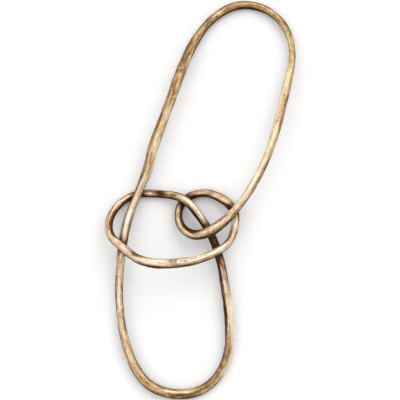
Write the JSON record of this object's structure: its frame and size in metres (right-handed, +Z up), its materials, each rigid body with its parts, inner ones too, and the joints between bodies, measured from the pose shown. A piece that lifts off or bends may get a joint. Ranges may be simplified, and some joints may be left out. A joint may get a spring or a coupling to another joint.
{
  "type": "metal knot sculpture",
  "caption": "Long hand-forged brass bar bent into an open upper loop, a small curl, a raised ring and a lower loop, interlaced as a closed knot.",
  "frame": {"origin": "middle of the sculpture's outline seen from above, on the plane of the table that it lies on", "axes": "+Y towards the crown of the upper loop, +X to its right seen from above, +Z up from the table"},
  "size_m": [0.2836, 0.5959, 0.0744],
  "materials": {
    "forged_brass": "hand-hammered, antiqued brown in the hollows and rubbed bright on the high places",
    "brazed_joint": "filed flush and rubbed, with small pits left in it"
  },
  "bodies": {
    "root": {"left_limb_bar": "forged_brass", "crown_bar": "forged_brass", "right_limb_bar": "forged_brass", "curl_bar": "forged_brass", "ring_bar": "forged_brass", "diagonal_bar": "forged_brass", "lower_left_bar": "forged_brass", "left_limb_weld": "brazed_joint", "shoulder_weld": "brazed_joint", "upper_right_weld": "brazed_joint", "curl_weld": "brazed_joint", "ring_front_weld": "brazed_joint", "ring_back_weld": "brazed_joint", "foot_weld": "brazed_joint"}
  },
  "joints": []
}
